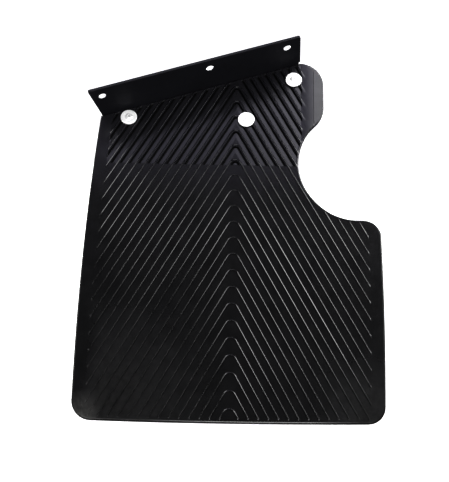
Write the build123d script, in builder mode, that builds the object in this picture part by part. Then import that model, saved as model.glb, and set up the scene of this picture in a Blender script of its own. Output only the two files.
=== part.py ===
from build123d import *
import os
from math import cos, sin, tan, radians

os.makedirs("parts", exist_ok=True)

# Mud flap on a folded steel bracket, drawn hanging as fitted.  Millimetres, +Z up,
# +X to the right of the ribbed face, the ribbed face looks along -Y.
# Origin: centre of the middle bolt hole on the seating (upper) face of the flange.

# ---- rubber ----
rubber_thk = 5.0
left_top_x = -162.6
low_left = (-168.0, -428.0)
low_right = (165.9, -425.2)
right_top_x = 168.4
left_bow = 5.0
right_bow = 1.6
bottom_bow = 2.2
low_left_r = 22.0
low_right_r = 19.0
shoulder_z = -185.0
shoulder_r = 20.0
cut_x = 152.0
cut_z = -110.7
cut_r = 77.6
cut_join_r = 60.0
lobe_x = 104.9
lobe_top_r = 28.5
lobe_low_r = 37.5
rim_bevel = 1.2

# ---- chevron beads and the grooves beside them ----
rib_pitch = 20.3
rib_angle = 61.9
rib_r = 6.5
bead_w = 1.4
bead_h = 0.9
groove_w = 2.6
groove_d = 2.0
groove_gap = 1.0
side_margin = 14.8
lobe_margin = 26.0
lobe_step = 12.4
lobe_step_d = 0.8
bottom_margin = 3.5

# ---- line about which the hanging part bends ----
bend_z = -116.5
bend_gap = 0.3

# ---- bracket ----
steel_thk = 3.0
slope = 18.7
fold_left_x = -161.8
fold_left_z = -51.3
fold_len = 251.4
flange_out = 54.5
flange_splay = 11.0
flange_corner_r = 2.0
bend_in_r = 1.5
leg_low_z = -110.0
leg_low_right_x = 60.0
leg_low_left_x = -150.0
relief_w = 1.8
relief_d = 2.5
bolt_hole_r = 4.5
hole_out = 39.4
hole_along = (5.2, 136.5, 232.9)

# ---- blind rivets and their wide washers ----
rivet_xz = (("left", -128.6, -54.3), ("middle", 11.8, -54.1), ("right", 68.5, 3.8))
rivet_r = 2.4
rivet_hole_r = 2.5
rivet_bore_r = 1.45
rivet_head_r = 4.75
rivet_head_h = 1.6
bulb_r = 3.7
bulb_h = 4.5
mandrel_r = 1.4
mandrel_head_r = 2.1
washer_r = 10.0
washer_thk = 1.5

slope_c = cos(radians(slope))
slope_s = sin(radians(slope))
half = rubber_thk / 2

# The chevron axis, ribbed face and zero height of the flap, set out from the middle bolt hole.
axis_x = -(fold_left_x + hole_along[1] * slope_c - steel_thk * slope_s)
face_y = hole_out
zero_z = -(fold_left_z + hole_along[1] * slope_s + steel_thk * slope_c)

# Ribbed face: local x to the right, local y up, normal out of the ribbed face.
face = Plane(origin=(axis_x, face_y, zero_z), x_dir=(1, 0, 0), z_dir=(0, -1, 0))
# Underside of the flange: local x up along the fold, local y backwards.
flange_face = Plane(
    origin=(axis_x + fold_left_x, face_y, zero_z + fold_left_z),
    x_dir=(slope_c, 0, slope_s),
    z_dir=(-slope_s, 0, slope_c),
)


def fold_z(x):
    """Height of the fold line above a point of the ribbed face."""
    return fold_left_z + (x - fold_left_x) * tan(radians(slope))


def bowed(start, end, rise):
    """Points of a shallow arc from start to end that swells by rise to its right-hand side."""
    span = Vector(*end) - Vector(*start)
    side = Vector(span.Y, -span.X).normalized()
    middle = (Vector(*start) + Vector(*end)) * 0.5 + side * rise
    return start, (middle.X, middle.Y), end


def moved(points, dx, dy):
    """The same points, shifted."""
    return [(x + dx, y + dy) for x, y in points]


def rib_strip(width, drop):
    """One rounded chevron strip, apex at the local origin, lowered by drop."""
    reach = 230.0
    fall = reach * tan(radians(rib_angle))
    low = drop + width / cos(radians(rib_angle))
    with BuildSketch(Plane.XY, mode=Mode.PRIVATE) as strip:
        with BuildLine():
            Polyline(
                (0, -drop),
                (reach, -fall - drop),
                (reach, -fall - low),
                (0, -low),
                (-reach, -fall - low),
                (-reach, -fall - drop),
                close=True,
            )
        make_face()
        apexes = strip.vertices().filter_by(lambda v: abs(v.X) < 0.01).sort_by(Axis.Y)
        fillet(apexes[-1], rib_r + width / 2)
        inner = strip.vertices().filter_by(lambda v: abs(v.X) < 0.01).sort_by(Axis.Y)
        fillet(inner[0], rib_r - width / 2)
    return strip.sketch


# Corners of the moulding, and its sides and bottom edge, which swell slightly.
top_left = (left_top_x, fold_z(left_top_x) - 0.4)
top_right = (lobe_x - lobe_top_r, fold_z(lobe_x - lobe_top_r) - 0.4)
shoulder = (right_top_x, shoulder_z)
left_edge = bowed(low_left, top_left, -left_bow)
bottom_edge = bowed(low_left, low_right, bottom_bow)
right_edge = bowed(low_right, shoulder, right_bow)

# Whole outline of the moulding, before it is split at the bend line.
with BuildSketch(Plane.XY) as outline:
    with BuildLine():
        lobe_side = (lobe_x, top_right[1] - lobe_top_r)
        cut_start = (cut_x - (cut_r**2 - (cut_z - shoulder_z) ** 2) ** 0.5, shoulder_z)
        cut_end = (lobe_x, cut_z + (cut_r**2 - (cut_x - lobe_x) ** 2) ** 0.5)
        Line(top_right, top_left)
        ThreePointArc(*left_edge)
        ThreePointArc(*bottom_edge)
        ThreePointArc(*right_edge)
        Line(shoulder, cut_start)
        ThreePointArc(cut_start, (cut_x - cut_r, cut_z), cut_end)
        Line(cut_end, lobe_side)
        RadiusArc(lobe_side, top_right, -lobe_top_r)
    make_face()
    rounded = (
        (low_left, low_left_r),
        (low_right, low_right_r),
        (shoulder, shoulder_r),
        (cut_start, cut_join_r),
        (cut_end, lobe_low_r),
    )
    for corner, radius in rounded:
        fillet(outline.vertices().sort_by_distance(corner)[0], radius)

# Field covered by the ribs: side margins plain, ribs running out at the cut-out.
with BuildSketch(Plane.XY) as rib_field:
    with BuildLine():
        left_limit = moved(left_edge, side_margin, bottom_margin)
        right_limit = moved(right_edge, -side_margin, bottom_margin)
        ThreePointArc(*left_limit)
        ThreePointArc(*bowed(left_limit[0], right_limit[0], bottom_bow))
        ThreePointArc(*right_limit)
        Polyline(
            right_limit[-1],
            (right_limit[-1][0], shoulder_z + 20),
            (lobe_x - lobe_margin, shoulder_z + 20),
            (lobe_x - lobe_margin, 40),
            (left_limit[-1][0], 40),
            left_limit[-1],
        )
    make_face()
    add(offset(outline.sketch, amount=-rim_bevel, mode=Mode.PRIVATE), mode=Mode.INTERSECT)

rib_rows = [(0, -rib_pitch * row) for row in range(-15, 21)]
bead = rib_strip(bead_w, -bead_w / 2 / cos(radians(rib_angle)))
groove = rib_strip(groove_w, (bead_w / 2 + groove_gap) / cos(radians(rib_angle)))

with BuildSketch(Plane.XY) as beads:
    with Locations(*rib_rows):
        add(bead)
    add(rib_field.sketch, mode=Mode.INTERSECT)

with BuildSketch(Plane.XY) as grooves:
    with Locations(*rib_rows):
        add(groove)
    add(rib_field.sketch, mode=Mode.INTERSECT)

# ---- rubber: clamped head ----
head_low_z = bend_z + half + bend_gap
with BuildPart() as flap_head:
    with BuildSketch(face):
        add(outline.sketch)
        with Locations((0, head_low_z - 300)):
            Rectangle(600, 600, mode=Mode.SUBTRACT)
    extrude(amount=-rubber_thk)
    # plain strip along the free side of the lobe lies a little lower
    with BuildSketch(face):
        with Locations((lobe_x - lobe_step + 20, 20)):
            Rectangle(40, 180)
    extrude(amount=-lobe_step_d, mode=Mode.SUBTRACT)
    with BuildSketch(face):
        add(grooves.sketch)
        with Locations((0, head_low_z - 300)):
            Rectangle(600, 600, mode=Mode.SUBTRACT)
    extrude(amount=-groove_d, mode=Mode.SUBTRACT)
    with BuildSketch(face):
        add(beads.sketch)
        with Locations((0, head_low_z - 300)):
            Rectangle(600, 600, mode=Mode.SUBTRACT)
    extrude(amount=bead_h)
    # back upper edge eased to clear the inside of the bracket's bend
    with BuildSketch(Plane(flange_face.origin, x_dir=(0, 1, 0), z_dir=(slope_c, 0, slope_s))):
        with BuildLine():
            Polyline(
                (rubber_thk + 0.5, 1),
                (rubber_thk + 0.5, -2.4),
                (rubber_thk - 2.4, -0.4),
                (rubber_thk - 2.4, 1),
                close=True,
            )
        make_face()
    extrude(amount=fold_len + 10, mode=Mode.SUBTRACT)
    with BuildSketch(face):
        with Locations(*[(x, z) for _, x, z in rivet_xz]):
            Circle(rivet_hole_r)
    extrude(amount=rubber_thk, both=True, mode=Mode.SUBTRACT)

# ---- rubber: hanging skirt, its upper end rounded about the bend line ----
with BuildPart() as flap_skirt:
    with BuildSketch(face):
        add(outline.sketch)
        with Locations((0, bend_z + 300)):
            Rectangle(600, 600, mode=Mode.SUBTRACT)
    extrude(amount=-rubber_thk)
    front = flap_skirt.faces().sort_by(Axis.Y)[0]
    rim = front.edges().sort_by(Axis.Z)[:-1]
    chamfer(rim, rim_bevel)
    with BuildSketch(face):
        add(beads.sketch)
        with Locations((0, bend_z + 297.5)):
            Rectangle(600, 600, mode=Mode.SUBTRACT)
    extrude(amount=bead_h)
    across = flap_skirt.edges().filter_by(Axis.X).sort_by(Axis.Z)[-1]
    edge_left = across.bounding_box().min.X
    edge_right = across.bounding_box().max.X
    with BuildSketch(Plane(origin=(edge_left, face_y + half, zero_z + bend_z), x_dir=(0, 1, 0), z_dir=(1, 0, 0))):
        Circle(half)
    extrude(amount=edge_right - edge_left)

# ---- steel bracket: drilled flange and the leg behind the rubber, folded from one sheet ----
leg_left = 1.0
leg_right = fold_len - relief_w
with BuildPart() as mounting_bracket:
    with BuildSketch(flange_face):
        with BuildLine():
            Polyline(
                (leg_left, rubber_thk + steel_thk),
                (leg_left, 0),
                (-flange_splay, -flange_out),
                (fold_len - 2.5, -flange_out),
                (fold_len, -relief_d),
                (leg_right, -relief_d),
                (leg_right, rubber_thk + steel_thk),
                close=True,
            )
        make_face()
    extrude(amount=steel_thk)
    free_corners = mounting_bracket.edges().filter_by(Axis((0, 0, 0), (-slope_s, 0, slope_c)))
    fillet(free_corners.sort_by(Axis.Y)[:2], flange_corner_r)
    with BuildSketch(face.offset(-rubber_thk)):
        with BuildLine():
            Polyline(
                (fold_left_x + leg_left * slope_c, fold_left_z + leg_left * slope_s),
                (fold_left_x + leg_right * slope_c, fold_left_z + leg_right * slope_s),
                (fold_left_x + leg_right * slope_c, -45),
                (leg_low_right_x, leg_low_z),
                (leg_low_left_x, leg_low_z),
                (fold_left_x + leg_left * slope_c, -75),
                close=True,
            )
        make_face()
    extrude(amount=-steel_thk)
    along_fold = mounting_bracket.edges().filter_by(Axis((0, 0, 0), (slope_c, 0, slope_s)))
    inner_fold = along_fold.filter_by(lambda e: abs(e.center().Y - face_y - rubber_thk) < 0.01)
    fillet(inner_fold, bend_in_r)
    along_fold = mounting_bracket.edges().filter_by(Axis((0, 0, 0), (slope_c, 0, slope_s)))
    outer_fold = along_fold.sort_by(Axis.Y)[-1]
    fillet(outer_fold, bend_in_r + steel_thk)
    with BuildSketch(flange_face):
        with Locations(*[(x, -hole_out) for x in hole_along]):
            Circle(bolt_hole_r)
    extrude(amount=steel_thk + 1, mode=Mode.SUBTRACT)
    with BuildSketch(face.offset(-rubber_thk)):
        with Locations(*[(x, z) for _, x, z in rivet_xz]):
            Circle(rivet_hole_r)
    extrude(amount=-steel_thk - 1, mode=Mode.SUBTRACT)

mounting_bracket.part.label = "mounting_bracket"
export_step(mounting_bracket.part, "parts/mounting_bracket.step")
flap_head.part.label = "flap_head"
export_step(flap_head.part, "parts/flap_head.step")
flap_skirt.part.label = "flap_skirt"
export_step(flap_skirt.part, "parts/flap_skirt.step")

# ---- three fixings: wide washer on the ribs, blind rivet, spent mandrel ----
for place, x, z in rivet_xz:
    seat = Plane(
        origin=(axis_x + x, face_y - bead_h, zero_z + z), x_dir=(1, 0, 0), z_dir=(0, -1, 0)
    )
    grip = bead_h + rubber_thk + steel_thk + washer_thk

    with BuildPart() as washer:
        with BuildSketch(seat):
            Circle(washer_r)
            Circle(rivet_hole_r, mode=Mode.SUBTRACT)
        extrude(amount=washer_thk)
        fillet(washer.edges().filter_by(GeomType.CIRCLE).sort_by(Axis.Y)[:2].sort_by(SortBy.RADIUS)[-1], 0.5)
    washer.part.label = "washer_" + place
    export_step(washer.part, "parts/washer_" + place + ".step")

    # turned profile: domed head, shank through the stack, bulb set behind the steel
    profile = Plane(origin=seat.origin, x_dir=(1, 0, 0), z_dir=(0, 0, 1))
    top = -washer_thk
    low = grip - washer_thk
    with BuildPart() as rivet:
        with BuildSketch(profile):
            with BuildLine():
                Polyline(
                    (rivet_bore_r, top - rivet_head_h),
                    (rivet_bore_r, low + bulb_h + 2.5),
                    (rivet_r, low + bulb_h + 2.5),
                    (rivet_r, low + bulb_h),
                )
                ThreePointArc((rivet_r, low + bulb_h), (bulb_r, low + bulb_h * 0.5), (bulb_r - 0.4, low))
                Polyline((bulb_r - 0.4, low), (rivet_r, low), (rivet_r, top), (rivet_head_r, top))
                ThreePointArc(
                    (rivet_head_r, top),
                    (rivet_head_r * 0.72, top - rivet_head_h * 0.72),
                    (rivet_bore_r, top - rivet_head_h),
                )
            make_face()
        revolve(axis=Axis(seat.origin, (0, 1, 0)))
    rivet.part.label = "rivet_" + place
    export_step(rivet.part, "parts/rivet_" + place + ".step")

    with BuildPart() as mandrel:
        with BuildSketch(profile):
            with BuildLine():
                Polyline(
                    (0, top - rivet_head_h + 0.5),
                    (mandrel_r, top - rivet_head_h + 0.9),
                    (mandrel_r, low + bulb_h + 2.5),
                    (mandrel_head_r, low + bulb_h + 2.5),
                    (mandrel_head_r, low + bulb_h + 3.7),
                    (0, low + bulb_h + 4.6),
                    close=True,
                )
            make_face()
        revolve(axis=Axis(seat.origin, (0, 1, 0)))
    mandrel.part.label = "mandrel_" + place
    export_step(mandrel.part, "parts/mandrel_" + place + ".step")
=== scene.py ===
from math import atan2, cos, degrees, hypot, pi, radians, sin, tan

import bmesh
import bpy
import numpy as np
from mathutils import Matrix, Vector
from mathutils.geometry import delaunay_2d_cdt


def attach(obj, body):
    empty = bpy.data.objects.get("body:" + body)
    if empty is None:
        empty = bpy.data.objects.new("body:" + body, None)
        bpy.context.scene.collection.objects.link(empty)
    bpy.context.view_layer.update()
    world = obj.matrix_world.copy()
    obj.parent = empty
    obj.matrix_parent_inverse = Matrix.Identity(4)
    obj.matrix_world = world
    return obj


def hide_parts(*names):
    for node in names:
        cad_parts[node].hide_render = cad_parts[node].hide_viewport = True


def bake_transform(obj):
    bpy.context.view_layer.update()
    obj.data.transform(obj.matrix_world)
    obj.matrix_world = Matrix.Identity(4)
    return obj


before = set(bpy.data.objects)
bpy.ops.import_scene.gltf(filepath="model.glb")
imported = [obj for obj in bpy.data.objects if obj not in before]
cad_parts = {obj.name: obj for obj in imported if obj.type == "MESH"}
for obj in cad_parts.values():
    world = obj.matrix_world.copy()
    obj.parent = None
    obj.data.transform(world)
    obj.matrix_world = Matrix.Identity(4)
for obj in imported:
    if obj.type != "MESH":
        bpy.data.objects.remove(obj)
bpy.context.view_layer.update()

# Sizes are in mm and places are flap face coordinates, x to the right and z up, except in the
# sections whose titles say metres.
MM = 0.001
SLOPE = radians(18.7)
# Zero of the flap face coordinates in the row frame. The ribbed face is at FACE_Y.
AXIS_X, FACE_Y, ZERO_Z = 33.468, 39.4, 4.694
THICK, STEEL = 5.0, 3.0
BEND_Z = -116.5


def place(x, y, z):
    """Flap face coordinates in mm, y backwards from the ribbed face, to row frame metres."""
    return Vector((AXIS_X + x, FACE_Y + y, ZERO_Z + z)) * MM


def add_object(name, mesh):
    made = bpy.data.objects.new(name, mesh)
    bpy.context.scene.collection.objects.link(made)
    return made


# ---------------------------------------------------------------- curves in the flap face
def arc(centre_x, centre_z, radius, start, end, steps):
    """Points of an arc, angles in degrees."""
    turns = [radians(start + (end - start) * i / steps) for i in range(steps + 1)]
    return [(centre_x + radius * cos(t), centre_z + radius * sin(t)) for t in turns]


def corner(before, point, after, radius, steps=8):
    """Points that round the corner at point, between before and after."""
    tip = Vector(point)
    to_before = (Vector(before) - tip).normalized()
    to_after = (Vector(after) - tip).normalized()
    half = to_before.angle(to_after) / 2
    cut = radius / tan(half)
    centre = tip + (to_before + to_after).normalized() * (radius / sin(half))
    first = tip + to_before * cut - centre
    last = tip + to_after * cut - centre
    start = atan2(first.y, first.x)
    turn = atan2(last.y, last.x) - start
    turn = (turn + pi) % (2 * pi) - pi
    angles = [start + turn * i / steps for i in range(steps + 1)]
    return [(centre.x + radius * cos(a), centre.y + radius * sin(a)) for a in angles]


def bowed(start, end, rise, steps=24):
    """Points of a shallow curve that swells by rise to the right-hand side of its direction."""
    dx, dz = end[0] - start[0], end[1] - start[1]
    span = hypot(dx, dz)
    out = []
    for i in range(steps + 1):
        t = i / steps
        swell = 4 * rise * t * (1 - t) / span
        out.append((start[0] + dx * t + dz * swell, start[1] + dz * t - dx * swell))
    return out


def moved(points, dx, dz):
    return [(x + dx, z + dz) for x, z in points]


def dense(points, step):
    """Closed outline with long edges divided."""
    out = []
    for i, p in enumerate(points):
        q = points[(i + 1) % len(points)]
        n = max(1, int(hypot(q[0] - p[0], q[1] - p[1]) / step))
        out += [(p[0] + (q[0] - p[0]) * k / n, p[1] + (q[1] - p[1]) * k / n) for k in range(n)]
    return out


def shifted(points, distance):
    """Closed anticlockwise outline moved outwards by a distance."""
    out = []
    count = len(points)
    for i in range(count):
        before, here, after = (Vector(points[k % count]) for k in (i - 1, i, i + 1))
        u, v = (here - before).normalized(), (after - here).normalized()
        mitre = Vector((u.y + v.y, -(u.x + v.x)))
        mitre = mitre / max(mitre.length_squared, 1e-9) * 2
        out.append((here.x + mitre.x * distance, here.y + mitre.y * distance))
    return out


# ---------------------------------------------------------------- rubber outline
FOLD_LEFT_X, FOLD_LEFT_Z = -161.8, -51.3
TOP_GAP = 0.4
TOP_LEFT_X = -162.6
SHOULDER_Z = -185.0
CUT_X, CUT_Z, CUT_R, CUT_JOIN_R = 152.0, -110.7, 77.6, 60.0
LOBE_X, LOBE_TOP_R, LOBE_LOW_R = 104.9, 28.5, 37.5
LEFT_RISE, BOTTOM_RISE, RIGHT_RISE = 5.0, 2.2, 1.6
LOW_LEFT_R, LOW_RIGHT_R, SHOULDER_R = 22.0, 19.0, 20.0
# Points of an edge nearer to a corner than this give way to its rounding.
TRIM_LEFT, TRIM_RIGHT = 24.0, 22.0
SIDE_MARGIN, BOTTOM_MARGIN = 14.8, 3.5
JOIN_STEPS, CUT_STEPS, LOBE_STEPS = 12, 40, 14
LONGEST_EDGE = 12.0


def top_z(x):
    """Height of the rubber's top edge, just below the fold of the bracket."""
    return FOLD_LEFT_Z + (x - FOLD_LEFT_X) * tan(SLOPE) - TOP_GAP


lobe_top_x = LOBE_X - LOBE_TOP_R
low_left, low_right, shoulder = (-168.0, -428.0), (165.9, -425.2), (168.4, SHOULDER_Z)
left_edge = bowed((TOP_LEFT_X, top_z(TOP_LEFT_X)), low_left, LEFT_RISE)
bottom_edge = bowed(low_left, low_right, BOTTOM_RISE)
right_edge = bowed(low_right, shoulder, RIGHT_RISE)


def cut_out():
    """The arc of the cut-out with the roundings that join it to the shoulder and to the lobe."""
    join_z = SHOULDER_Z + CUT_JOIN_R
    join_x = CUT_X - ((CUT_R - CUT_JOIN_R) ** 2 - (join_z - CUT_Z) ** 2) ** 0.5
    lobe_x = LOBE_X - LOBE_LOW_R
    lobe_z = CUT_Z + ((CUT_R + LOBE_LOW_R) ** 2 - (CUT_X - lobe_x) ** 2) ** 0.5
    low = degrees(atan2(join_z - CUT_Z, join_x - CUT_X)) % 360
    high = degrees(atan2(lobe_z - CUT_Z, lobe_x - CUT_X)) % 360
    points = arc(join_x, join_z, CUT_JOIN_R, 270, low, JOIN_STEPS)
    points += arc(CUT_X, CUT_Z, CUT_R, low, high, CUT_STEPS)[1:]
    return points + arc(lobe_x, lobe_z, LOBE_LOW_R, high - 180, 0, JOIN_STEPS)[1:]


def rubber_outline():
    """The closed outline, anticlockwise from the top left.

    A corner is rounded between the directions of its two edges, two points along each.
    """
    left_end, right_end = low_left[0] + TRIM_LEFT, low_right[0] - TRIM_RIGHT
    out = [p for p in left_edge if p[1] > low_left[1] + TRIM_LEFT]
    out += corner(left_edge[-3], low_left, bottom_edge[2], LOW_LEFT_R)
    out += [p for p in bottom_edge if left_end < p[0] < right_end]
    out += corner(bottom_edge[-3], low_right, right_edge[2], LOW_RIGHT_R)
    out += [p for p in right_edge if low_right[1] + TRIM_RIGHT < p[1] < SHOULDER_Z - TRIM_RIGHT]
    out += corner(right_edge[-3], shoulder, (CUT_X - SHOULDER_R, SHOULDER_Z), SHOULDER_R)
    out += cut_out()
    lobe_z = top_z(lobe_top_x) - LOBE_TOP_R
    return out + arc(lobe_top_x, lobe_z, LOBE_TOP_R, 0, 90, LOBE_STEPS)


outline = dense(rubber_outline(), LONGEST_EDGE)
left_limit = moved(left_edge, SIDE_MARGIN, BOTTOM_MARGIN)
right_limit = moved(right_edge, -SIDE_MARGIN, BOTTOM_MARGIN)
bottom_limit = bowed(left_limit[-1], right_limit[0], BOTTOM_RISE)

# ---------------------------------------------------------------- ribs
PITCH, RIB_ANGLE, RIB_R = 20.3, radians(61.9), 6.5
RIB_C, RIB_S = cos(RIB_ANGLE), sin(RIB_ANGLE)
ROWS = range(-15, 23)
ARM_REACH = 230.0
HALF_TURN_STEPS = 5
BOX_LEFT, BOX_RIGHT, BOX_LOW, BOX_TOP = -172.0, 172.0, -432.0, 38.0
# Heights across one rib, by distance below its line. Every rib is a bead with a broad upper flank
# and a steep lower one. Above the bend a groove and a bar that rises to the next bead follow it.
BEAD = ((-0.95, 0.0), (-0.72, 0.3), (0.16, 0.74), (0.4, 0.82), (0.7, 0.6), (0.95, 0.0))
GROOVE = ((1.7, 0.0), (1.95, -2.0), (4.05, -2.0), (4.3, -0.45), (8.6, 0.0))
GROOVE_END_RUN = 0.8
# The ribs start inside the rounded rim and reach their full height over a short way.
RIM, FADE = 1.6, 1.6
# Above SPLIT_Z the ribs end on the lobe. The rubber to their right is plain, with a step down near
# its free edge.
LOBE_FIELD_R = LOBE_X - 26.0
SPLIT_Z = -150.0
STEP_X, STEP_DEPTH, STEP_RUN = LOBE_X - 12.4, 0.8, 0.6
STEP_LOW_Z, STEP_END_RUN = -75.0, 3.0
# The plain rubber of the lobe curls back: depth in mm per mm squared.
LOBE_CURL = 0.0042
CURL_LOW_Z, CURL_END_RUN = -85.0, 25.0


def rib_centre_z(row):
    """Height of the centre of the rounded tip of one rib."""
    return -PITCH * row - RIB_R / RIB_C


def rib_path(row, shift):
    """One chevron line: straight arms joined by an arc that is concentric for every shift."""
    radius = RIB_R - shift
    centre_z = rib_centre_z(row)
    if radius > 0:
        turns = [RIB_ANGLE * (-1 + i / HALF_TURN_STEPS) for i in range(2 * HALF_TURN_STEPS + 1)]
        tip = [(radius * sin(t), centre_z + radius * cos(t)) for t in turns]
    else:
        tip = [(0.0, centre_z + radius / RIB_C)]
    x, z = tip[-1]
    far_x, far_z = x + ARM_REACH, z - ARM_REACH * tan(RIB_ANGLE)
    return [(-far_x, far_z)] + tip + [(far_x, far_z)]


def clip(start, end, low_z):
    """The part of a segment inside the working box, or None."""
    first, last = 0.0, 1.0
    dx, dz = end[0] - start[0], end[1] - start[1]
    for origin, run, low, high in (
        (start[0], dx, BOX_LEFT, BOX_RIGHT),
        (start[1], dz, low_z, BOX_TOP),
    ):
        if abs(run) < 1e-9:
            if origin < low or origin > high:
                return None
            continue
        near, far = sorted(((low - origin) / run, (high - origin) / run))
        first, last = max(first, near), min(last, far)
    if last - first < 1e-6:
        return None
    return [(start[0] + dx * t, start[1] + dz * t) for t in (first, last)]


def profile(distances, table):
    """Height of a piecewise straight profile at each distance."""
    return np.interp(distances, [p[0] for p in table], [p[1] for p in table], 0.0, 0.0)


def ramp(distances, width):
    return np.clip(distances / width, 0.0, 1.0)


def edge_distance(xs, zs, loop):
    """Distance of each point from a closed outline, positive inside."""
    nearest = np.full(len(xs), 1e9)
    inside = np.zeros(len(xs), bool)
    for i, (ax, az) in enumerate(loop):
        bx, bz = loop[(i + 1) % len(loop)]
        ex, ez = bx - ax, bz - az
        t = np.clip(((xs - ax) * ex + (zs - az) * ez) / (ex * ex + ez * ez), 0, 1)
        nearest = np.minimum(nearest, np.hypot(xs - ax - t * ex, zs - az - t * ez))
        if az != bz:
            crosses = (az > zs) != (bz > zs)
            inside ^= crosses & (xs < (bx - ax) * (zs - az) / (bz - az) + ax)
    return np.where(inside, nearest, -nearest)


def limit(at, points, axis):
    """Coordinate of a margin line, read from its points, at each position along it."""
    table = sorted(points, key=lambda p: p[1 - axis])
    return np.interp(at, [p[1 - axis] for p in table], [p[axis] for p in table])


def front_height(xs, zs):
    """Height of the ribbed face at each point."""
    right = np.where(zs > SPLIT_Z, LOBE_FIELD_R, limit(zs, right_limit, 0))
    side = np.minimum(xs - limit(zs, left_limit, 0), right - xs)
    field = ramp(np.minimum(side, zs - limit(xs, bottom_limit, 1)), FADE)
    field = field * ramp(edge_distance(xs, zs, outline) - RIM, FADE)
    head = ramp(zs - BEND_Z, GROOVE_END_RUN)
    out = np.zeros(len(xs))
    for row in ROWS:
        dx, dz = np.abs(xs), zs - rib_centre_z(row)
        on_tip = np.arctan2(dx, dz) < RIB_ANGLE
        below = RIB_R - np.where(on_tip, np.hypot(dx, dz), dx * RIB_S + dz * RIB_C)
        out += profile(below, BEAD) * field + profile(below, GROOVE) * field * head
    step = STEP_DEPTH * ramp(xs - STEP_X, STEP_RUN) * ramp(zs - STEP_LOW_Z, STEP_END_RUN)
    curl = LOBE_CURL * np.maximum(xs - LOBE_FIELD_R, 0.0) ** 2
    return out - step - curl * ramp(zs - CURL_LOW_Z, CURL_END_RUN)


# ---------------------------------------------------------------- rubber mesh
# Outward shift and depth of each ring from the edge of the ribbed face round to the back.
RIM_RINGS = ((0.8, 0.22), (1.35, 0.75), (RIM, 1.6), (RIM, THICK - 0.7), (1.0, THICK))
# Upright creases on the lobe, measured from its step: the step's own and some for the curl.
CURL_CREASES = (-9.0, -4.5, 0.0, STEP_RUN, 4.0, 7.5, 10.0)
FIELD_CREASE_LOW_Z, CURL_CREASE_LOW_Z = -80.0, -90.0
GROOVE_CREASE_RIGHT = 90.0
# The rubber is cut across this far above and below the bend, so that it can bend smoothly.
BEND_ABOVE, BEND_BELOW, BEND_PITCH = 10.0, 90.0, 5.0
# Edges bent by less than the first angle are smooth. A face is shaded flat where at least this
# share of its normal lies along Y.
RUBBER_SMOOTH_BELOW = radians(42)
FLAT, FLAT_ON_LOBE = 0.99, 0.9999


def creases():
    """Every line on which the ribbed face changes slope, as points and whether it is closed."""
    out = [(shifted(outline, -RIM), True), (shifted(outline, -RIM - FADE), True)]
    for row in ROWS:
        for table, low_z in ((BEAD, BOX_LOW), (GROOVE, BEND_Z)):
            for shift, _ in table:
                path = rib_path(row, shift)
                parts = [clip(start, end, low_z) for start, end in zip(path, path[1:])]
                out += [(part, False) for part in parts if part]
    for inset in (0.0, FADE):
        out.append((moved(left_limit, inset, 0), False))
        out.append((moved(right_limit, -inset, 0), False))
        out.append((moved(bottom_limit, 0, inset), False))
    for x in (LOBE_FIELD_R, LOBE_FIELD_R - FADE):
        out.append(([(x, FIELD_CREASE_LOW_Z), (x, BOX_TOP)], False))
    for from_step in CURL_CREASES:
        x = STEP_X + from_step
        out.append(([(x, CURL_CREASE_LOW_Z), (x, BOX_TOP)], False))
    for z in (BEND_Z, BEND_Z + GROOVE_END_RUN):
        out.append(([(BOX_LEFT, z), (GROOVE_CREASE_RIGHT, z)], False))
    out.append(([(0, BEND_Z), (0, BOX_TOP)], False))
    return out


def add_front(bm):
    """The ribbed face: triangles between the creases, moved to their heights."""
    points, edges = [], []
    for path, closed in creases():
        first = len(points)
        points.extend(Vector(p) for p in path)
        edges.extend((first + i, first + i + 1) for i in range(len(path) - 1))
        if closed:
            edges.append((len(points) - 1, first))
    verts, _, faces, *_ = delaunay_2d_cdt(points, edges, [], 0, 1e-4)
    xz = np.array([(v.x, v.y) for v in verts])
    triangles = np.array([f for f in faces if len(f) == 3])
    middles = xz[triangles].mean(axis=1)
    inside = edge_distance(middles[:, 0], middles[:, 1], shifted(outline, -RIM)) > 0
    heights = front_height(xz[:, 0], xz[:, 1])
    made = {}
    for triangle in triangles[inside]:
        for i in triangle:
            if i not in made:
                made[i] = bm.verts.new((xz[i, 0], -heights[i], xz[i, 1]))
        bm.faces.new([made[i] for i in triangle])
    bmesh.ops.recalc_face_normals(bm, faces=bm.faces)
    if sum(f.normal.y * f.calc_area() for f in bm.faces) > 0:
        bmesh.ops.reverse_faces(bm, faces=bm.faces)


def free_edge(bm):
    """The vertices round the edge of the ribbed face, anticlockwise."""
    start = next(v for v in bm.verts if v.is_boundary)
    loop, last, here = [start], None, start
    while True:
        ahead = next(
            e.other_vert(here)
            for e in here.link_edges
            if e.is_boundary and e.other_vert(here) is not last
        )
        if ahead is start:
            break
        loop.append(ahead)
        last, here = here, ahead
    pairs = zip(loop, loop[1:] + loop[:1])
    area = sum(a.co.x * b.co.z - b.co.x * a.co.z for a, b in pairs)
    return loop if area > 0 else loop[::-1]


def add_rim_and_back(bm, loop):
    """Rounded rim, wall and plain back, ring by ring from the edge of the ribbed face."""
    flat = [(v.co.x, v.co.z) for v in loop]
    front = [v.co.y for v in loop]
    rings = [loop]
    for out, depth in RIM_RINGS:
        share = max(0.0, 1 - depth / THICK)
        points = shifted(flat, out)
        rings.append([bm.verts.new((x, depth + y * share, z)) for (x, z), y in zip(points, front)])
    for a, b in zip(rings, rings[1:]):
        for i in range(len(a)):
            j = (i + 1) % len(a)
            bm.faces.new((a[i], a[j], b[j], b[i]))
    bm.faces.new(list(reversed(rings[-1])))
    bmesh.ops.recalc_face_normals(bm, faces=bm.faces)


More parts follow.
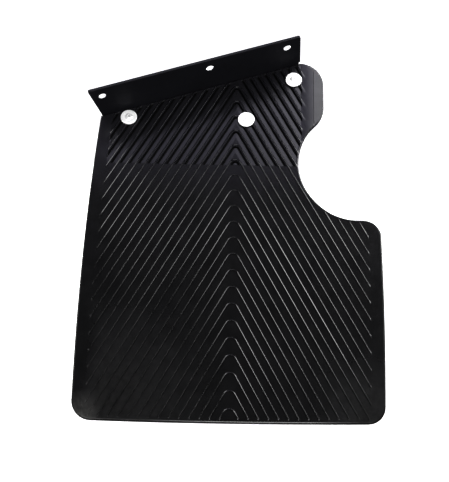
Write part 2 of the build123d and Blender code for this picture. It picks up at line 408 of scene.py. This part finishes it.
def cut_across_the_bend(bm):
    for k in range(round((BEND_ABOVE + BEND_BELOW) / BEND_PITCH)):
        height = (0, 0, BEND_Z + BEND_ABOVE - BEND_PITCH * k)
        geom = list(bm.verts) + list(bm.edges) + list(bm.faces)
        bmesh.ops.bisect_plane(bm, geom=geom, plane_co=height, plane_no=(0, 0, 1), dist=1e-5)


def shade_rubber(mesh):
    """Beads, grooves, the rounded rim and the curled lobe are smooth, the flat rubber is flat."""
    mesh.set_sharp_from_angle(angle=RUBBER_SMOOTH_BELOW)
    lobe_start = place(LOBE_FIELD_R, 0, 0).x
    for face in mesh.polygons:
        flat = FLAT_ON_LOBE if face.center.x > lobe_start else FLAT
        face.use_smooth = abs(face.normal.y) < flat


def rubber_mesh():
    bm = bmesh.new()
    add_front(bm)
    add_rim_and_back(bm, free_edge(bm))
    cut_across_the_bend(bm)
    for v in bm.verts:
        v.co = place(*v.co)
    mesh = bpy.data.meshes.new("flap_rubber")
    bm.to_mesh(mesh)
    bm.free()
    shade_rubber(mesh)
    return mesh


rubber = add_object("flap_rubber", rubber_mesh())
rest_low = Vector([min(v.co[k] for v in rubber.data.vertices) for k in range(3)])
rest_high = Vector([max(v.co[k] for v in rubber.data.vertices) for k in range(3)])


# ---------------------------------------------------------------- material nodes
def new_material(name):
    material = bpy.data.materials.new(name)
    material.use_nodes = True
    tree = material.node_tree
    tree.nodes.clear()
    out = tree.nodes.new("ShaderNodeOutputMaterial")
    shader = tree.nodes.new("ShaderNodeBsdfPrincipled")
    tree.links.new(shader.outputs[0], out.inputs[0])
    return material, tree, shader


def noise(tree, scale, detail=4.0, rough=0.55):
    coord = tree.nodes.new("ShaderNodeTexCoord")
    node = tree.nodes.new("ShaderNodeTexNoise")
    node.inputs["Scale"].default_value = scale
    node.inputs["Detail"].default_value = detail
    node.inputs["Roughness"].default_value = rough
    tree.links.new(coord.outputs["Object"], node.inputs[0])
    return node.outputs[0]


def spread(tree, value, low, high, start=0.3, end=0.7):
    """Maps a value between start and end onto a range."""
    node = tree.nodes.new("ShaderNodeMapRange")
    node.inputs["From Min"].default_value = start
    node.inputs["From Max"].default_value = end
    node.inputs["To Min"].default_value = low
    node.inputs["To Max"].default_value = high
    tree.links.new(value, node.inputs[0])
    return node.outputs[0]


def two_colours(tree, value, dark, light, start=0.3, end=0.7):
    node = tree.nodes.new("ShaderNodeValToRGB")
    for stop, at, colour in zip(node.color_ramp.elements, (start, end), (dark, light)):
        stop.position = at
        stop.color = (*colour, 1)
    tree.links.new(value, node.inputs[0])
    return node.outputs[0]


def bump(tree, value, strength, distance, before=None):
    node = tree.nodes.new("ShaderNodeBump")
    node.inputs["Strength"].default_value = strength
    node.inputs["Distance"].default_value = distance
    tree.links.new(value, node.inputs["Height"])
    if before is not None:
        tree.links.new(before, node.inputs["Normal"])
    return node.outputs[0]


def sum_or_product(tree, kind, a, b):
    """ADD or MULTIPLY of two values, kept between 0 and 1."""
    node = tree.nodes.new("ShaderNodeMath")
    node.operation = kind
    node.use_clamp = True
    tree.links.new(a, node.inputs[0])
    tree.links.new(b, node.inputs[1])
    return node.outputs[0]


def mixed(tree, amount, a, b, kind):
    """Mix of two values of kind FLOAT or RGBA."""
    node = tree.nodes.new("ShaderNodeMix")
    node.data_type = kind
    socket = "RGBA" if kind == "RGBA" else "VALUE"
    pair = [i for i in node.inputs if i.type == socket][-2:]
    tree.links.new(amount, node.inputs[0])
    tree.links.new(a, pair[0])
    tree.links.new(b, pair[1])
    return next(o for o in node.outputs if o.type == socket)


def position(tree, axis, start, end):
    """0 to 1 along one axis of the rubber as moulded, from start to end in flap face mm."""
    k = "XYZ".index(axis)
    coord = tree.nodes.new("ShaderNodeTexCoord")
    split = tree.nodes.new("ShaderNodeSeparateXYZ")
    tree.links.new(coord.outputs["Generated"], split.inputs[0])
    size = rest_high[k] - rest_low[k]
    first = (place(start, start, start)[k] - rest_low[k]) / size
    last = (place(end, end, end)[k] - rest_low[k]) / size
    return spread(tree, split.outputs[axis], 0.0, 1.0, first, last)


def mask(tree, *ranges):
    """Product of several positions, each (axis, start, end)."""
    out = position(tree, *ranges[0])
    for r in ranges[1:]:
        out = sum_or_product(tree, "MULTIPLY", out, position(tree, *r))
    return out


# ---------------------------------------------------------------- materials
# Where each kind of rubber surface lies: axis, start and place of full strength in mm.
LEFT_LOW_CORNER = (("X", -15.0, -105.0), ("X", -160.0, -141.0), ("Z", -285.0, -380.0))
RIGHT_LOW_CORNER = (("X", 85.0, 140.0), ("Z", -345.0, -405.0))
GRIME = (("X", -135.0, -168.0), ("Z", -395.0, -430.0))
GROOVE_DEPTHS = (("Y", 0.3, 1.5), ("Y", 3.5, 2.5))
GROOVE_FIELD = (("X", 79.5, 78.5), ("Z", BEND_Z, BEND_Z + GROOVE_END_RUN))
HEAD = ("Z", -160.0, -95.0)
BACK = ("Y", 4.2, 4.7)
# Darkest and lightest colour of each kind of surface.
CLEAN = ((0.0085, 0.0085, 0.0089), (0.0120, 0.0120, 0.0124))
# Painted sheen: the head is coloured paler and bluer where the light from the top falls on it.
HEAD_SHEEN = ((0.0150, 0.0146, 0.0180), (0.0210, 0.0204, 0.0245))
# The lower corners are coloured darker than the clean rubber, in patches.
LOW_CORNER_DARK = ((0.0020, 0.0019, 0.0019), (0.0120, 0.0117, 0.0116))
GRIMY = ((0.0700, 0.0690, 0.0660), (0.2400, 0.2360, 0.2250))
# Painted shade: the grooves are coloured darker than the rest of the rubber, for the shade in them.
GROOVE_SHADE = ((0.0020, 0.0020, 0.0022), (0.0030, 0.0030, 0.0033))
COATED = ((0.0090, 0.0090, 0.0125), (0.0130, 0.0130, 0.0175))
ZINC = ((0.93, 0.93, 0.93), (0.98, 0.98, 0.98))
ALUMINIUM = ((0.90, 0.90, 0.90), (0.97, 0.97, 0.97))
# The bolt-hole walls are bare cut steel, and their bright colour is also painted light, for the
# light that shows in the holes.
BARE_AND_LIT = ((0.62, 0.62, 0.63), (0.82, 0.82, 0.82))
PLAIN_STEEL = ((0.62, 0.62, 0.63), (0.78, 0.78, 0.78))
# Least and greatest roughness of the rubber's front, of its lower corners and grooves, and of its
# back.
SATIN, DULL, BACK_DULL = (0.20, 0.26), (0.50, 0.75), (0.44, 0.54)
# Specular level of clean rubber, and of its lower corners and grooves.
SHINE = (0.5, 0.18)
COATED_SHINE = 0.35


def rubber_material():
    """Black moulded rubber: painted pale sheen on the head, painted shade in the grooves, darker
    and duller rubber in both lower corners.
    """
    material, tree, shader = new_material("black_rubber")
    low_corner_area = sum_or_product(tree, "ADD", mask(tree, *LEFT_LOW_CORNER), mask(tree, *RIGHT_LOW_CORNER))
    low_corner_patches = spread(tree, noise(tree, 30.0, 8.0, 0.7), 0.55, 1.0)
    low_corners = sum_or_product(tree, "MULTIPLY", low_corner_area, low_corner_patches)
    grime_patches = noise(tree, 60.0, 6.0, 0.7)
    grime = sum_or_product(tree, "MULTIPLY", mask(tree, *GRIME), grime_patches)
    groove = mask(tree, *GROOVE_DEPTHS, *GROOVE_FIELD)
    head = position(tree, *HEAD)
    back = position(tree, *BACK)

    clean = two_colours(tree, noise(tree, 60.0, 6.0), *CLEAN)
    head_sheen = two_colours(tree, noise(tree, 40.0, 6.0), *HEAD_SHEEN)
    low_corner_dark = two_colours(tree, noise(tree, 220.0, 6.0, 0.75), *LOW_CORNER_DARK, 0.38, 0.62)
    grimy = two_colours(tree, noise(tree, 200.0, 6.0, 0.7), *GRIMY)
    groove_shade = two_colours(tree, noise(tree, 60.0), *GROOVE_SHADE)
    colour = mixed(tree, head, clean, head_sheen, "RGBA")
    colour = mixed(tree, low_corners, colour, low_corner_dark, "RGBA")
    colour = mixed(tree, grime, colour, grimy, "RGBA")
    colour = mixed(tree, groove, colour, groove_shade, "RGBA")
    tree.links.new(colour, shader.inputs["Base Color"])

    satin = spread(tree, noise(tree, 70.0, 6.0), *SATIN)
    dull = spread(tree, noise(tree, 160.0, 5.0, 0.7), *DULL)
    back_dull = spread(tree, noise(tree, 50.0, 6.0), *BACK_DULL)
    rough = mixed(tree, low_corners, satin, dull, "FLOAT")
    rough = mixed(tree, back, rough, back_dull, "FLOAT")
    rough = mixed(tree, groove, rough, dull, "FLOAT")
    tree.links.new(rough, shader.inputs["Roughness"])

    matt = sum_or_product(tree, "ADD", low_corners, groove)
    shine = spread(tree, matt, *SHINE, 0.0, 1.0)
    tree.links.new(shine, shader.inputs["Specular IOR Level"])

    coarse = bump(tree, noise(tree, 420.0, 3.0), 0.03, 0.0004)
    fine = bump(tree, noise(tree, 1500.0, 2.0), 0.03, 0.0002, coarse)
    tree.links.new(fine, shader.inputs["Normal"])
    return material


def steel_material():
    material, tree, shader = new_material("black_coated_steel")
    colour = two_colours(tree, noise(tree, 14.0), *COATED)
    rough = spread(tree, noise(tree, 90.0, 5.0), 0.58, 0.68)
    grain = bump(tree, noise(tree, 700.0, 3.0), 0.15, 0.0002)
    tree.links.new(colour, shader.inputs["Base Color"])
    tree.links.new(rough, shader.inputs["Roughness"])
    tree.links.new(grain, shader.inputs["Normal"])
    shader.inputs["Specular IOR Level"].default_value = COATED_SHINE
    return material


def metal_material(name, colours, smoothest, roughest, metallic):
    material, tree, shader = new_material(name)
    colour = two_colours(tree, noise(tree, 90.0), *colours)
    rough = spread(tree, noise(tree, 225.0, 5.0), smoothest, roughest)
    grain = bump(tree, noise(tree, 900.0, 3.0), 0.12, 0.0001)
    tree.links.new(colour, shader.inputs["Base Color"])
    tree.links.new(rough, shader.inputs["Roughness"])
    tree.links.new(grain, shader.inputs["Normal"])
    shader.inputs["Metallic"].default_value = metallic
    return material


rubber.data.materials.append(rubber_material())
black_steel = steel_material()
zinc = metal_material("bright_zinc", ZINC, 0.42, 0.52, 0.15)
rivet_metal = metal_material("rivet_aluminium", ALUMINIUM, 0.36, 0.46, 0.25)
bare_steel_and_light = metal_material("bare_steel_and_light", BARE_AND_LIT, 0.4, 0.55, 0.5)
mandrel_metal = metal_material("mandrel_steel", PLAIN_STEEL, 0.36, 0.48, 0.7)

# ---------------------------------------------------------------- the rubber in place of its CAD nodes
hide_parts("flap_head", "flap_skirt")
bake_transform(rubber)


# ---------------------------------------------------------------- washers, rivets and mandrels
BEAD_TOP, WASHER, GRIP_BACK = -0.9, 1.5, THICK + STEEL
WASHER_FRONT = BEAD_TOP - WASHER
WASHER_R, WASHER_HOLE_R = 10.0, 2.5
RIVET_R, SHANK_R, RIVET_BORE_R = 4.75, 2.4, 1.45
RIVET_TAIL = GRIP_BACK + 7.0
# Radius and height above the washer across the rivet's head, and radius and depth behind the
# steel across its bulb.
RIVET_DOME = ((1.65, 1.62), (2.3, 1.55), (3.1, 1.3), (3.9, 0.9), (4.45, 0.45), (4.7, 0.15))
RIVET_BULB = ((3.3, 0.0), (3.6, 0.9), (3.7, 2.2), (3.5, 3.3), (2.9, 4.1), (SHANK_R, 4.7))
# Radius and height above the washer across the broken end of the mandrel, and radius and depth
# behind the rivet's tail across its head.
MANDREL_STUB = ((0.0, 1.0), (0.8, 1.05), (1.25, 0.85), (1.4, 0.6))
MANDREL_HEAD = ((1.4, 0.0), (2.0, 0.0), (2.1, 0.2), (2.1, 1.1), (1.7, 1.8), (0.9, 2.05), (0.0, 2.1))
TURNED_SMOOTH_BELOW = radians(40)
# Side, x and z of each fixing.
FIXINGS = (("left", -128.6, -54.3), ("middle", 11.8, -54.1), ("right", 68.5, 3.8))


def lathe(name, points, centre, steps):
    """Turned piece: points are (radius, y) in mm, from the front round to the back."""
    bm = bmesh.new()
    turns = [2 * pi * i / steps for i in range(steps)]
    rings = []
    for r, y in points:
        around = turns if r > 0 else turns[:1]
        ring = [place(centre[0] + r * cos(t), y, centre[1] + r * sin(t)) for t in around]
        rings.append([bm.verts.new(p) for p in ring])
    for a, b in zip(rings, rings[1:]):
        for i in range(steps):
            j = (i + 1) % steps
            quad = [a[i % len(a)], a[j % len(a)], b[j % len(b)], b[i % len(b)]]
            quad = [v for k, v in enumerate(quad) if v not in quad[:k]]
            bm.faces.new(quad)
    bmesh.ops.recalc_face_normals(bm, faces=bm.faces)
    mesh = bpy.data.meshes.new(name)
    bm.to_mesh(mesh)
    bm.free()
    for face in mesh.polygons:
        face.use_smooth = True
    mesh.set_sharp_from_angle(angle=TURNED_SMOOTH_BELOW)
    return add_object(name, mesh)


def washer_section():
    """Flat ring with a rounded outer edge."""
    inner = [(WASHER_HOLE_R, WASHER_FRONT + 0.15), (WASHER_HOLE_R + 0.2, WASHER_FRONT)]
    face = [(WASHER_HOLE_R + 4.0, WASHER_FRONT), (WASHER_R - 1.2, WASHER_FRONT + 0.02)]
    face += [(WASHER_R - 0.5, WASHER_FRONT + 0.1), (WASHER_R - 0.13, WASHER_FRONT + 0.35)]
    edge = [(WASHER_R, WASHER_FRONT + 0.7), (WASHER_R, BEAD_TOP - 0.15)]
    back = [(WASHER_R - 0.15, BEAD_TOP), (WASHER_HOLE_R, BEAD_TOP)]
    return inner + face + edge + back + inner[:1]


def rivet_section():
    """Domed head, shank and bulb with a bore right through."""
    head = [(RIVET_BORE_R, WASHER_FRONT - 1.5)] + [(r, WASHER_FRONT - h) for r, h in RIVET_DOME]
    head += [(RIVET_R, WASHER_FRONT), (SHANK_R, WASHER_FRONT)]
    tail = [(SHANK_R, GRIP_BACK)] + [(r, GRIP_BACK + d) for r, d in RIVET_BULB]
    tail += [(SHANK_R, RIVET_TAIL), (RIVET_BORE_R, RIVET_TAIL)]
    return head + tail + head[:1]


def mandrel_section():
    """Stem that is broken off inside the rivet's head and swells behind its tail."""
    stub = [(r, WASHER_FRONT - h) for r, h in MANDREL_STUB]
    return stub + [(r, RIVET_TAIL + d) for r, d in MANDREL_HEAD]


# Kind of piece, ending of its name, section, material, slot and steps round it.
TURNED = (
    ("washer", "disc", washer_section(), zinc, "zinc_steel", 48),
    ("rivet", "body", rivet_section(), rivet_metal, "rivet_aluminium", 48),
    ("mandrel", "stub", mandrel_section(), mandrel_metal, "mandrel_steel", 32),
)
for side, x, z in FIXINGS:
    for kind, ending, section, material, slot, steps in TURNED:
        node = kind + "_" + side
        turned = lathe(node + "_" + ending, section, (x, z), steps)
        turned.data.materials.append(material)
        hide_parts(node)
        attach(turned, "clamped")

# ---------------------------------------------------------------- bracket, in metres
HOLES_ALONG = (0.0, -0.1313, 0.0964)
BOLT_HOLES = [Vector((d * cos(SLOPE), 0.0, d * sin(SLOPE))) for d in HOLES_ALONG]
HOLE_R, HOLE_SLACK = 0.0045, 0.0001
SEAT_NORMAL = Vector((-sin(SLOPE), 0.0, cos(SLOPE)))
# The most that a normal on the wall of a hole leans along the hole.
WALL_LEAN = 0.4
EDGE_ROUND, ROUNDED_ABOVE = 0.00035, radians(35)
MERGED_BELOW, BRACKET_SMOOTH_BELOW = radians(0.6), radians(32)
BROAD_FACE_AREA = 0.0004


def in_bolt_hole(face):
    """Whether a face of the bracket lies on the wall of a bolt hole."""
    for hole in BOLT_HOLES:
        offset = face.center - hole
        across = offset - offset.dot(SEAT_NORMAL) * SEAT_NORMAL
        if across.length < HOLE_R + HOLE_SLACK:
            return abs(face.normal.dot(SEAT_NORMAL)) < WALL_LEAN
    return False


def bracket():
    """The CAD bracket with its long flat faces merged and every sharp edge slightly rounded."""
    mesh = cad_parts["mounting_bracket"].data.copy()
    mesh.name = "bracket_steel"
    bm = bmesh.new()
    bm.from_mesh(mesh)
    bmesh.ops.remove_doubles(bm, verts=bm.verts, dist=1e-6)
    bmesh.ops.dissolve_limit(bm, angle_limit=MERGED_BELOW, verts=bm.verts, edges=bm.edges)
    sharp = [e for e in bm.edges if len(e.link_faces) == 2 and e.calc_face_angle(0) > ROUNDED_ABOVE]
    bmesh.ops.bevel(
        bm,
        geom=sharp,
        offset=EDGE_ROUND,
        segments=2,
        profile=0.6,
        affect="EDGES",
        clamp_overlap=True,
    )
    bm.to_mesh(mesh)
    bm.free()
    mesh.set_sharp_from_angle(angle=BRACKET_SMOOTH_BELOW)
    mesh.materials.clear()
    mesh.materials.append(black_steel)
    # The second material is the bolt-hole walls' bare steel, partly painted light.
    mesh.materials.append(bare_steel_and_light)
    # the bend and the rounded edges are smooth, the broad faces stay flat
    for face in mesh.polygons:
        face.use_smooth = face.area < BROAD_FACE_AREA
        face.material_index = 1 if in_bolt_hole(face) else 0
    made = add_object("bracket_steel", mesh)
    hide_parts("mounting_bracket")
    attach(made, "clamped")


bracket()

# ---------------------------------------------------------------- stage, in metres
WHITE = (1.0, 1.0, 1.0)
FLOOR_Z, FLOOR_FRONT, WALL_Y, WALL_TOP = -1.5, -6.0, 2.8, 5.0
SWEEP_R, SWEEP_STEPS, SWEEP_HALF_WIDTH = 1.2, 12, 5.0
SWEEP_GLOW = 0.95
PALE = ((0.900, 0.900, 0.900), (0.918, 0.918, 0.918))
# Deepens the shadows, for the hard contrast of the photo.
VIEW_GAMMA = 0.7


def sweep_material():
    material, tree, shader = new_material("pale_sweep")
    colour = two_colours(tree, noise(tree, 2.0), *PALE)
    tree.links.new(colour, shader.inputs["Base Color"])
    shader.inputs["Roughness"].default_value = 0.9
    shader.inputs["Emission Color"].default_value = (*WHITE, 1)
    shader.inputs["Emission Strength"].default_value = SWEEP_GLOW
    return material


def sweep():
    """Pale floor that curves up into a wall well behind the object."""
    curve_y, curve_z = WALL_Y - SWEEP_R, FLOOR_Z + SWEEP_R
    turns = [pi / 2 * i / SWEEP_STEPS for i in range(1, SWEEP_STEPS + 1)]
    section = [(FLOOR_FRONT, FLOOR_Z), (curve_y, FLOOR_Z)]
    section += [(curve_y + SWEEP_R * sin(t), curve_z - SWEEP_R * cos(t)) for t in turns]
    section += [(WALL_Y, WALL_TOP)]
    bm = bmesh.new()
    left = [bm.verts.new((-SWEEP_HALF_WIDTH, y, z)) for y, z in section]
    right = [bm.verts.new((SWEEP_HALF_WIDTH, y, z)) for y, z in section]
    for i in range(len(section) - 1):
        bm.faces.new((left[i], right[i], right[i + 1], left[i + 1]))
    mesh = bpy.data.meshes.new("studio_sweep")
    bm.to_mesh(mesh)
    bm.free()
    for face in mesh.polygons:
        face.use_smooth = True
    mesh.materials.append(sweep_material())
    made = add_object("studio_sweep", mesh)
    # pale to the camera only: the object is lit by the soft boxes and mirrors nothing else
    made.visible_diffuse = False
    made.visible_glossy = False


def white_world():
    """White behind everything, to the camera only."""
    world = bpy.data.worlds.new("studio")
    world.use_nodes = True
    background = world.node_tree.nodes["Background"]
    background.inputs["Color"].default_value = (*WHITE, 1)
    background.inputs["Strength"].default_value = 1.0
    bpy.context.scene.world = world
    world.cycles_visibility.diffuse = False
    world.cycles_visibility.glossy = False


sweep()
white_world()
bpy.context.scene.view_settings.view_transform = "Standard"
bpy.context.scene.view_settings.gamma = VIEW_GAMMA

# ---------------------------------------------------------------- lights, in metres
MIDDLE = Vector((0.03, 0.04, -0.19))
DISTANCE = 1.7
SKY = (0.84, 0.82, 1.0)
# Soft boxes: name, degrees round to the right from the front, degrees up, width, height, radiance
# and colour. None stands straight in front at 10 to 35 degrees up, where the flat rubber would
# mirror it.
BOXES = (
    ("key_right", 56, 35, 0.75, 0.85, 13.0, WHITE),
    ("lobe_side", 28, 38, 0.45, 0.70, 5.0, WHITE),
    ("left", -55, 50, 0.75, 0.75, 9.0, WHITE),
    ("top_front", -6, 50, 1.60, 0.85, 2.3, SKY),
    ("low_right", 48, 2, 0.80, 0.60, 2.0, WHITE),
    ("side_left", -55, 16, 0.30, 0.30, 11.0, WHITE),
    ("side_right", 56, 14, 0.30, 0.30, 3.5, WHITE),
    ("low_front", 0, -40, 1.40, 0.90, 12.0, WHITE),
    ("back_left", -140, 30, 1.20, 1.20, 12.0, WHITE),
    ("back_right", 135, 40, 1.20, 1.20, 12.0, WHITE),
    ("back_low", 170, -22, 1.40, 0.80, 1.5, WHITE),
)


def soft_box(name, around, above, width, height, radiance, colour):
    """Area light at DISTANCE from the middle of the object, turned towards it."""
    a, e = radians(around), radians(above)
    direction = Vector((sin(a) * cos(e), -cos(a) * cos(e), sin(e)))
    light = bpy.data.lights.new(name, "AREA")
    light.shape = "RECTANGLE"
    light.size = width
    light.size_y = height
    light.energy = radiance * pi * width * height
    light.color = colour
    made = add_object(name, light)
    made.location = MIDDLE + DISTANCE * direction
    made.rotation_euler = (-direction).to_track_quat("-Z", "Y").to_euler()


for box in BOXES:
    soft_box(*box)

# ---------------------------------------------------------------- camera, in metres
# The sensor and the lens are in mm, as Blender has them.
SENSOR_WIDTH, LENS = 36.0, 93.70102
CLIP_START = 0.01
EYE = Vector((0.0410, -1.1558, -0.7893))
EYE_RIGHT = Vector((0.99966, 0.00213, 0.02585))
EYE_UP = Vector((-0.02234, -0.43585, 0.89974))


def camera():
    lens = bpy.data.cameras.new("camera")
    lens.sensor_fit = "HORIZONTAL"
    lens.sensor_width = SENSOR_WIDTH
    lens.lens = LENS
    lens.clip_start = CLIP_START
    turn = Matrix((EYE_RIGHT, EYE_UP, EYE_RIGHT.cross(EYE_UP))).transposed()
    eye = add_object("camera", lens)
    eye.matrix_world = Matrix.Translation(EYE) @ turn.to_4x4()
    bpy.context.scene.camera = eye


camera()
